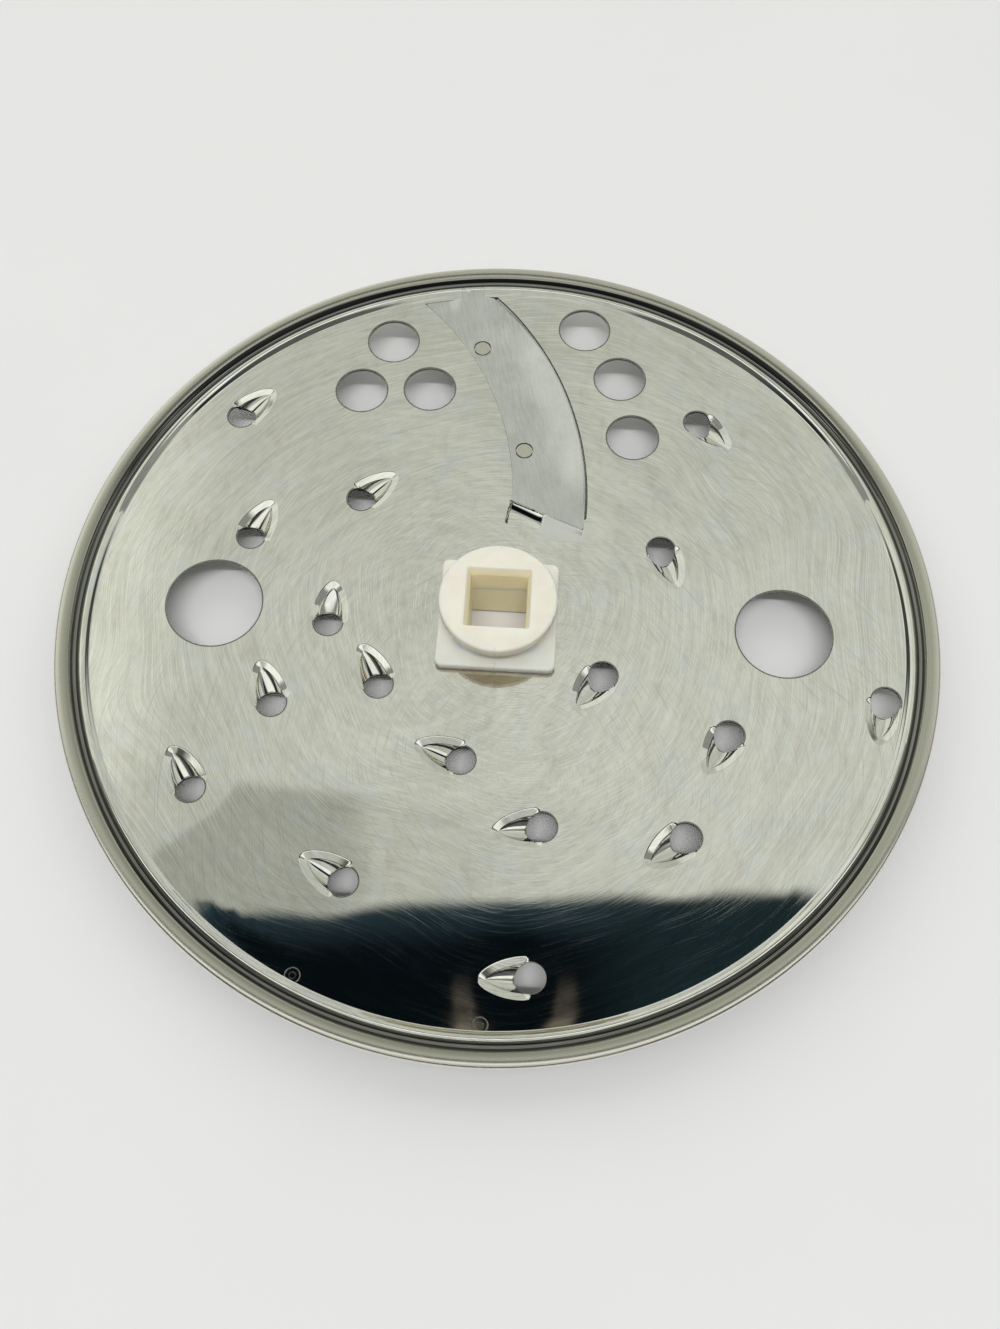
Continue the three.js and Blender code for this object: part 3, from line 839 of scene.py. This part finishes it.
class Net:
    """Short calls for the nodes of one tree, and for the sockets of its shader."""

    def __init__(self, tree, shader=None):
        self.tree = tree
        self.shader = shader

    def feed(self, sockets):
        for name, value in sockets.items():
            self.link(value, self.shader.inputs[name])

    def coordinate(self, kind):
        return self.node("TexCoord").outputs[kind]

    def link(self, value, socket):
        if isinstance(value, bpy.types.NodeSocket):
            self.tree.links.new(value, socket)
        else:
            socket.default_value = value

    def node(self, kind, *values, **settings):
        """A new node with these settings, and these values for its first sockets."""
        node = self.tree.nodes.new("ShaderNode" + kind)
        for name, setting in settings.items():
            setattr(node, name, setting)
        for value, socket in zip(values, node.inputs):
            self.link(value, socket)
        return node

    def math(self, operation, *values):
        return self.node("Math", *values, operation=operation).outputs[0]

    def times(self, a, b):
        return self.math("MULTIPLY", a, b)

    def plus(self, a, b):
        return self.math("ADD", a, b)

    def minus(self, a, b):
        return self.math("SUBTRACT", a, b)

    def larger(self, a, b):
        return self.math("MAXIMUM", a, b)

    def size(self, a):
        return self.math("ABSOLUTE", a)

    def vector(self, operation, *values):
        out = self.node("VectorMath", *values, operation=operation).outputs
        return out["Value"] if operation in ("LENGTH", "DISTANCE") else out[0]

    def scaled(self, vector, amount):
        node = self.node("VectorMath", vector, operation="SCALE")
        self.link(amount, node.inputs["Scale"])
        return node.outputs[0]

    def position(self):
        """Position in millimetres, in the part's own axes."""
        return self.scaled(self.coordinate("Object"), 1 / MM)

    def split(self, vector):
        return self.node("SeparateXYZ", vector).outputs

    def join(self, x, y, z):
        return self.node("CombineXYZ", x, y, z).outputs[0]

    def noise(self, vector, scale, detail=2.0, rough=0.5):
        node = self.node("TexNoise", vector)
        for key, number in (("Scale", scale), ("Detail", detail), ("Roughness", rough)):
            node.inputs[key].default_value = number
        return node.outputs["Fac"]

    def remap(self, value, a, b, c=0.0, d=1.0, kind="SMOOTHSTEP"):
        node = self.node("MapRange", value, interpolation_type=kind)
        for key, number in (("From Min", a), ("From Max", b), ("To Min", c), ("To Max", d)):
            self.link(number, node.inputs[key])
        return node.outputs["Result"]

    def mix(self, factor, a, b, blend="MIX"):
        node = self.node("Mix", factor, data_type="RGBA", blend_type=blend)
        for value, key in ((a, "A"), (b, "B")):
            socket = [s for s in node.inputs if s.name == key and s.type == "RGBA"][0]
            if isinstance(value, tuple):
                value = (*value, 1.0)
            self.link(value, socket)
        return [s for s in node.outputs if s.type == "RGBA"][0]

    def over(self, base, colour, mask, share):
        """The base, with a share of a colour laid over it where the mask is 1."""
        return self.mix(self.times(mask, share), base, colour)

    def shaded(self, base, factor):
        """The base, brightened or darkened by a factor."""
        return self.mix(1.0, base, self.join(factor, factor, factor), "MULTIPLY")

    def bump(self, height, distance, normal=None):
        """A bump of this depth in millimetres, on top of another where one is given."""
        node = self.node("Bump")
        node.inputs["Strength"].default_value = 1.0
        node.inputs["Distance"].default_value = distance * MM
        self.link(height, node.inputs["Height"])
        if normal is not None:
            self.link(normal, node.inputs["Normal"])
        return node.outputs["Normal"]


def arcs(net, place, centre, around, across, detail=1.0):
    """Noise drawn out along circles about a centre: scratches left by sweeping and turning."""
    moved = net.vector("SUBTRACT", place, (centre[0], centre[1], TOP))
    x, y, z = net.split(moved)
    flat = net.join(x, y, 0.0)
    r = net.vector("LENGTH", flat)
    unit = net.scaled(flat, net.math("DIVIDE", around, net.larger(r, 1.0)))
    ux, uy = net.split(unit)[:2]
    spread = net.plus(net.times(r, across), net.times(z, across * 0.6))
    return net.noise(net.join(ux, uy, spread), 1.0, detail)


def hole_shade_lines(net, flat):
    """Mask of a thin line round every round hole of the sheet, at its softened edge, where painted
    shade goes.
    """
    holes = [(side * FINGER_X, 0, FINGER_R) for side in (-1, 1)]
    holes += [(x, y, VENT_R) for x, y in VENTS]
    holes += [(*tooth_axes(*tooth)[:2], TOOTH_HOLE_R - 0.02) for tooth in TEETH]
    line = 0.0
    for x, y, r in holes:
        off = net.size(net.minus(net.vector("DISTANCE", flat, (x, y, 0.0)), r + 0.1))
        line = net.larger(line, net.remap(off, 0.3, 0.12))
    return line


def smooth_swelling(net, x, y):
    """Mask of the smooth bright swelling by the blade's inner end."""
    along = net.math("MINIMUM", net.larger(x, 9.4), 15.0)
    across = net.plus(net.minus(y, 24.6), net.times(along, 0.26))
    off = net.vector("LENGTH", net.join(net.minus(x, along), across, 0.0))
    return net.times(net.remap(off, 2.5, 1.7), net.remap(x, 7.85, 7.95))


def ring_marks(net, flat):
    """Mask of the small round marks: a ring and a fainter one inside it."""
    marks = 0.0
    for x, y in RING_MARKS:
        away = net.vector("DISTANCE", flat, (x, y, 0.0))
        ring = net.remap(net.size(net.minus(away, 1.4)), 0.2, 0.06)
        core = net.remap(net.size(net.minus(away, 0.6)), 0.15, 0.05)
        marks = net.larger(marks, net.larger(ring, net.times(core, 0.6)))
    return marks


def plate_material():
    material, net = node_material("polished_swirled_steel")
    place = net.position()
    bend = net.noise(place, 0.025, 1.0)
    wander = net.vector("ADD", place, net.scaled(net.join(bend, bend, 0.0), 14.0))
    swept = arcs(net, wander, (0, 0), 2.6, 3.2)
    loose = arcs(net, wander, (16, -24), 4.2, 5.0)
    broad = arcs(net, wander, (-12, 6), 1.8, 0.8)
    hair = arcs(net, wander, (10, 8), 5.5, 9.0, 0.0)
    mottle = net.noise(place, 0.055, 3.0, 0.6)
    cloud = net.noise(net.vector("ADD", place, (5.0, 17.0, 0.0)), 0.16, 4.0, 0.62)
    smear = net.vector("MULTIPLY", net.vector("ADD", place, (31.0, 7.0, 0.0)), (2.6, 0.8, 1.0))
    stain = net.noise(smear, 0.12, 5.0, 0.68)
    grain = net.noise(place, 1.1, 2.0, 0.6)

    base = net.mix(net.remap(mottle, 0.35, 0.68), (0.60, 0.608, 0.54), (0.665, 0.672, 0.61))
    base = net.over(base, (0.60, 0.63, 0.64), net.remap(cloud, 0.5, 0.68), 0.55)
    base = net.over(base, (0.52, 0.49, 0.43), net.remap(stain, 0.5, 0.72), 0.45)
    streak = net.remap(net.plus(net.times(broad, 0.6), net.times(swept, 0.4)),
                       0.38, 0.62, 0.93, 1.05, "LINEAR")
    fleck = net.noise(net.vector("ADD", place, (3.0, 41.0, 0.0)), 0.5, 4.0, 0.68)
    streak = net.times(streak, net.remap(fleck, 0.3, 0.7, 0.94, 1.05, "LINEAR"))
    base = net.shaded(base, streak)
    # Fine scratches: some light, some dark.
    base = net.over(base, (0.79, 0.80, 0.76), net.remap(hair, 0.56, 0.64), 0.55)
    base = net.over(base, (0.46, 0.465, 0.42), net.remap(loose, 0.58, 0.67), 0.45)
    # Painted shade: the holes' walls, and a thin outline round each hole's softened edge, are painted
    # dark.
    x, y = net.split(place)[:2]
    flat = net.join(x, y, 0.0)
    radius = net.vector("LENGTH", flat)
    steep = net.split(net.coordinate("Normal"))[2]
    cut = net.times(net.remap(net.size(steep), 0.5, 0.2), net.remap(radius, FLAT_R, FLAT_R - 0.4))
    base = net.over(base, (0.07, 0.07, 0.066), cut, 0.85)
    line = net.times(hole_shade_lines(net, flat), net.remap(steep, 0.9, 0.97))
    base = net.over(base, (0.06, 0.06, 0.056), line, 0.85)
    # Painted shade: the sheet's under side is painted darker, standing in for the dim light under the
    # disc.
    base = net.over(base, (0.22, 0.22, 0.2), net.remap(steep, -0.1, -0.4), 0.5)  # under side
    # The rim's groove is painted dark as painted shade, and the rim's duller, browner outer roll is
    # darker near the groove and lighter towards the edge.
    groove_shade = net.remap(net.size(net.minus(radius, GROOVE_R)), 1.15, 0.55)
    base = net.over(base, (0.08, 0.08, 0.075), groove_shade, 0.8)
    roll = net.remap(radius, 85.9, 86.5)
    roll_gradient = net.remap(radius, 86.2, 88.9, kind="LINEAR")
    roll_gradient = net.mix(roll_gradient, (0.26, 0.26, 0.21), (0.70, 0.69, 0.61))
    base = net.mix(roll, base, roll_gradient)
    # Painted highlight: a near-white line along the rim's very edge.
    lip = net.remap(radius, 88.86, 88.95)
    base = net.mix(lip, base, (0.95, 0.95, 0.93))
    swell = smooth_swelling(net, x, y)
    base = net.mix(swell, base, (0.68, 0.69, 0.67))

    rough = 0.025
    for mask, more in ((net.remap(swept, 0.5, 0.7), 0.014), (net.remap(cloud, 0.55, 0.75), 0.008),
                       (net.remap(hair, 0.66, 0.74), 0.04), (net.larger(cut, roll), 0.22),
                       (lip, 0.25), (net.larger(swell, ring_marks(net, flat)), 0.16)):
        rough = net.plus(rough, net.times(mask, more))
    normal = None
    for height, depth in ((swept, 0.0002), (loose, 0.00028), (hair, 0.00006), (grain, 0.00005)):
        normal = net.bump(height, depth, normal)
    net.feed({"Base Color": base, "Metallic": 1.0, "Roughness": rough, "Normal": normal})
    return material


def blade_material():
    material, net = node_material("ground_blade_steel")
    place = net.position()
    x, y, z = net.split(place)
    slant = net.join(net.plus(net.times(x, 0.5), net.times(y, 0.12)), net.times(y, 0.5), z)
    fine = net.noise(net.vector("MULTIPLY", slant, (4.0, 0.4, 1.0)), 1.0, 2.0)
    cross = net.noise(net.vector("MULTIPLY", place, (1.2, 5.0, 1.0)), 1.0, 2.0)
    mottle = net.noise(place, 0.16, 3.0, 0.6)
    base = net.mix(net.remap(mottle, 0.35, 0.7), (0.54, 0.555, 0.535), (0.60, 0.615, 0.595))
    shade = net.remap(fine, 0.35, 0.65, 0.94, 1.05, "LINEAR")
    base = net.shaded(base, shade)
    rough = net.plus(0.2, net.times(net.remap(fine, 0.4, 0.7), 0.1))
    normal = net.bump(cross, 0.0004, net.bump(fine, 0.0007))
    net.feed({"Base Color": base, "Metallic": 1.0, "Roughness": rough, "Normal": normal})
    return material


def rivet_material():
    material, net = node_material("rivet_steel")
    place = net.position()
    grain = net.noise(place, 3.0, 3.0)
    base = net.mix(net.remap(grain, 0.3, 0.7), (0.50, 0.50, 0.43), (0.58, 0.575, 0.50))
    rough = net.remap(grain, 0.3, 0.7, 0.22, 0.34, "LINEAR")
    net.feed({"Base Color": base, "Metallic": 1.0, "Roughness": rough, "Normal": net.bump(grain, 0.01)})
    return material


def plastic_material():
    material, net = node_material("warm_white_plastic")
    place = net.position()
    x, y = net.split(place)[:2]
    cloud = net.noise(place, 0.18, 2.0)
    grain = net.noise(place, 4.5, 2.0, 0.6)
    base = net.mix(net.remap(cloud, 0.35, 0.65), (0.82, 0.785, 0.69), (0.86, 0.83, 0.745))
    reach = net.larger(net.size(x), net.size(y))
    socket = net.remap(reach, DRIVE_MOUTH / 2 + 0.1, DRIVE / 2 + 0.1)
    # Painted shade: a darker line along the mould seam's ridge, at the front and back of the cap and
    # flange.
    seam = net.times(net.remap(net.size(x), 0.36, 0.12),
                     net.remap(net.size(y), CAP_R - 1.1, CAP_R - 0.7))
    base = net.over(base, (0.50, 0.47, 0.39), seam, 0.22)
    # Painted light: the socket's walls are painted a bright warm tan, standing in for the warm light
    # bounced between them.
    base = net.over(base, (0.95, 0.85, 0.60), socket, 0.8)
    rough = net.remap(grain, 0.3, 0.7, 0.34, 0.46, "LINEAR")
    normal = net.bump(cloud, 0.12, net.bump(grain, 0.006))
    net.feed({"Base Color": base, "Roughness": rough, "Normal": normal, "Subsurface Weight": 0.7,
              "Subsurface Radius": (1.0, 0.7, 0.4), "Subsurface Scale": 4 * MM})
    return material


def floor_material():
    material, net = node_material("pale_table")
    place = net.position()
    grain = net.noise(place, 0.02, 3.0)
    base = net.mix(grain, (0.80, 0.80, 0.81), (0.83, 0.83, 0.835))
    net.feed({"Base Color": base, "Roughness": 0.6})
    return material


# ---- Object ----

steel = plate_material()
plate_piece(steel)
blade_piece(blade_material())
rivet_steel = rivet_material()
rivet_piece("rivet_outer", *RIVETS[0], "blade_rivet_outer", rivet_steel)
rivet_piece("rivet_inner", *RIVETS[1], "blade_rivet_inner", rivet_steel)
plastic = plastic_material()
hub_piece("hub_top", False, "hub_upper", plastic)
hub_piece("hub_base", True, "hub_lower", plastic)

# ---- Stage ----


def stage_floor():
    half = 4.0
    mesh = bpy.data.meshes.new("table")
    mesh.from_pydata([(-half, -half, 0), (half, -half, 0), (half, half, 0), (-half, half, 0)], [],
                     [(0, 1, 2, 3)])
    mesh.materials.append(floor_material())
    added("table", mesh)


def far_wall(net, u, v):
    """The bright wall behind the disc, with a softer grey patch of ceiling to its left."""
    wall = net.mix(net.remap(v, 0.28, 0.95), (0.80, 0.81, 0.76), (0.66, 0.67, 0.62))
    left = net.mix(1.0, wall, (0.98, 0.98, 0.96), "MULTIPLY")
    right = net.mix(1.0, wall, (1.08, 1.08, 1.08), "MULTIPLY")
    wall = net.mix(net.remap(u, -0.42, 0.45, kind="LINEAR"), left, right)
    wall = net.mix(net.remap(u, -0.25, -0.36), wall, (0.98, 0.99, 0.91))
    slant = net.times(net.plus(u, 0.222), 1.1)
    roof = net.remap(net.minus(v, net.math("MINIMUM", slant, 0.0)), 0.348, 0.337)
    patch = net.times(roof, net.remap(u, -0.08, -0.15))
    band = net.times(net.remap(v, 0.352, 0.330), net.remap(u, 0.12, -0.06))
    grey = net.larger(net.times(patch, 0.38), net.times(band, 0.12))
    return net.mix(grey, wall, (0.05, 0.055, 0.04))


def dark_ceiling(net, u, edge):
    """The dark ceiling over the disc, less dark by its border, with two pale strips across it."""
    dark = net.mix(net.remap(edge, 0.222, 0.26), (0.003, 0.006, 0.008), (0.024, 0.046, 0.06))
    dark = net.mix(net.remap(edge, 0.15, 0.21), (0.002, 0.005, 0.006), dark)
    dark = net.mix(net.remap(u, 0.03, 0.13), dark, (0.015, 0.03, 0.036))
    pale = 0.0
    for centre in (-0.029, 0.037):
        pale = net.plus(pale, net.remap(net.size(net.minus(u, centre)), 0.013, 0.005))
    pale = net.times(pale, net.remap(edge, 0.212, 0.172))
    return net.mix(pale, dark, (0.21, 0.185, 0.15))


def front_ceiling(net, u, v, dark):
    """The ceiling in front: the strip lamp as the steel sees it, in the darker half of the room."""
    lamp = net.times(net.remap(v, 0.06, -0.04), net.remap(v, -1.7, -1.2))
    lamp = net.times(lamp, net.remap(net.size(u), 1.5, 1.1))
    aside = net.remap(net.minus(net.size(u), net.times(v, 0.6)), 0.34, 0.42)
    front = net.mix(aside, dark, (0.36, 0.36, 0.345))
    front = net.mix(net.remap(v, -0.28, -0.34), front, (0.03, 0.033, 0.035))
    low = net.mix(net.remap(net.size(u), 0.65, 0.45), (0.14, 0.14, 0.135), (0.7, 0.7, 0.67))
    glow = net.mix(net.remap(v, -0.45, -0.3), low, (1.3, 1.3, 1.26))
    return net.mix(lamp, front, glow)


def stage_world():
    """Soft studio surroundings, by direction alone.

    u and v are where a ray meets a ceiling one unit up: u to the right, v away from the camera.
    """
    world = bpy.data.worlds.new("studio")
    bpy.context.scene.world = world
    world.use_nodes = True
    tree = world.node_tree
    tree.nodes.clear()
    net = Net(tree)
    x, y, z = net.split(net.coordinate("Generated"))
    up = net.larger(z, 0.02)
    u, v = net.math("DIVIDE", x, up), net.math("DIVIDE", y, up)
    edge = net.minus(v, net.times(u, 0.085))  # across the wall's slightly slanting foot
    front = front_ceiling(net, u, v, dark_ceiling(net, u, edge))
    sky = net.mix(net.remap(edge, 0.256, 0.269), front, far_wall(net, u, v))
    # Dark sides, then plain surroundings near the horizon: bright behind, grey elsewhere.
    sky = net.over(sky, (0.07, 0.074, 0.07), net.remap(net.size(u), 2.0, 2.5), net.remap(v, 3.5, 1.8))
    around = net.mix(net.remap(y, 0.6, 0.9), (0.16, 0.163, 0.165), (0.85, 0.85, 0.83))
    sky = net.mix(net.remap(z, 0.16, 0.07), sky, around)
    shade = tree.nodes.new("ShaderNodeBackground")
    net.link(sky, shade.inputs["Color"])
    out = tree.nodes.new("ShaderNodeOutputWorld")
    net.link(shade.outputs[0], out.inputs["Surface"])


LAMP_LENGTH, LAMP_WIDTH, LAMP_WATTS = 2.4, 0.14, 72.0
LAMP_PLACE = (0, -1.376, 4.0)  # metres; it faces the disc


def strip_lamp():
    """A long narrow ceiling lamp, along X and a little in front of the disc."""
    data = bpy.data.lights.new("strip_lamp", "AREA")
    data.shape = "RECTANGLE"
    data.size, data.size_y = LAMP_LENGTH, LAMP_WIDTH
    data.energy = LAMP_WATTS
    lamp = added("strip_lamp", data)
    lamp.location = LAMP_PLACE
    lamp.rotation_euler = Vector(LAMP_PLACE).to_track_quat("Z", "Y").to_euler()
    lamp.visible_glossy = False


CAMERA_PLACE = (6.573, -123.673, 257.72)  # millimetres
CAMERA_TURN, CAMERA_DOWN, CAMERA_ROLL = 2.8, 65.41, 0.62  # degrees
CAMERA_LENS = 36.92  # millimetres, on a 36 mm sensor


def main_camera():
    data = bpy.data.cameras.new("camera")
    data.lens = CAMERA_LENS
    data.sensor_width = 36.0
    data.sensor_fit = "AUTO"
    data.clip_start, data.clip_end = 0.01, 20
    camera = added("camera", data)
    turn = Matrix.Rotation(math.radians(CAMERA_TURN), 4, "Z")
    tilt = Matrix.Rotation(math.radians(90 - CAMERA_DOWN), 4, "X")
    roll = Matrix.Rotation(math.radians(CAMERA_ROLL), 4, "Z")
    place = Matrix.Translation(Vector(CAMERA_PLACE) * MM)
    camera.matrix_world = place @ turn @ tilt @ roll
    bpy.context.scene.camera = camera


stage_floor()
stage_world()
strip_lamp()
main_camera()
bpy.context.scene.view_settings.view_transform = "Standard"
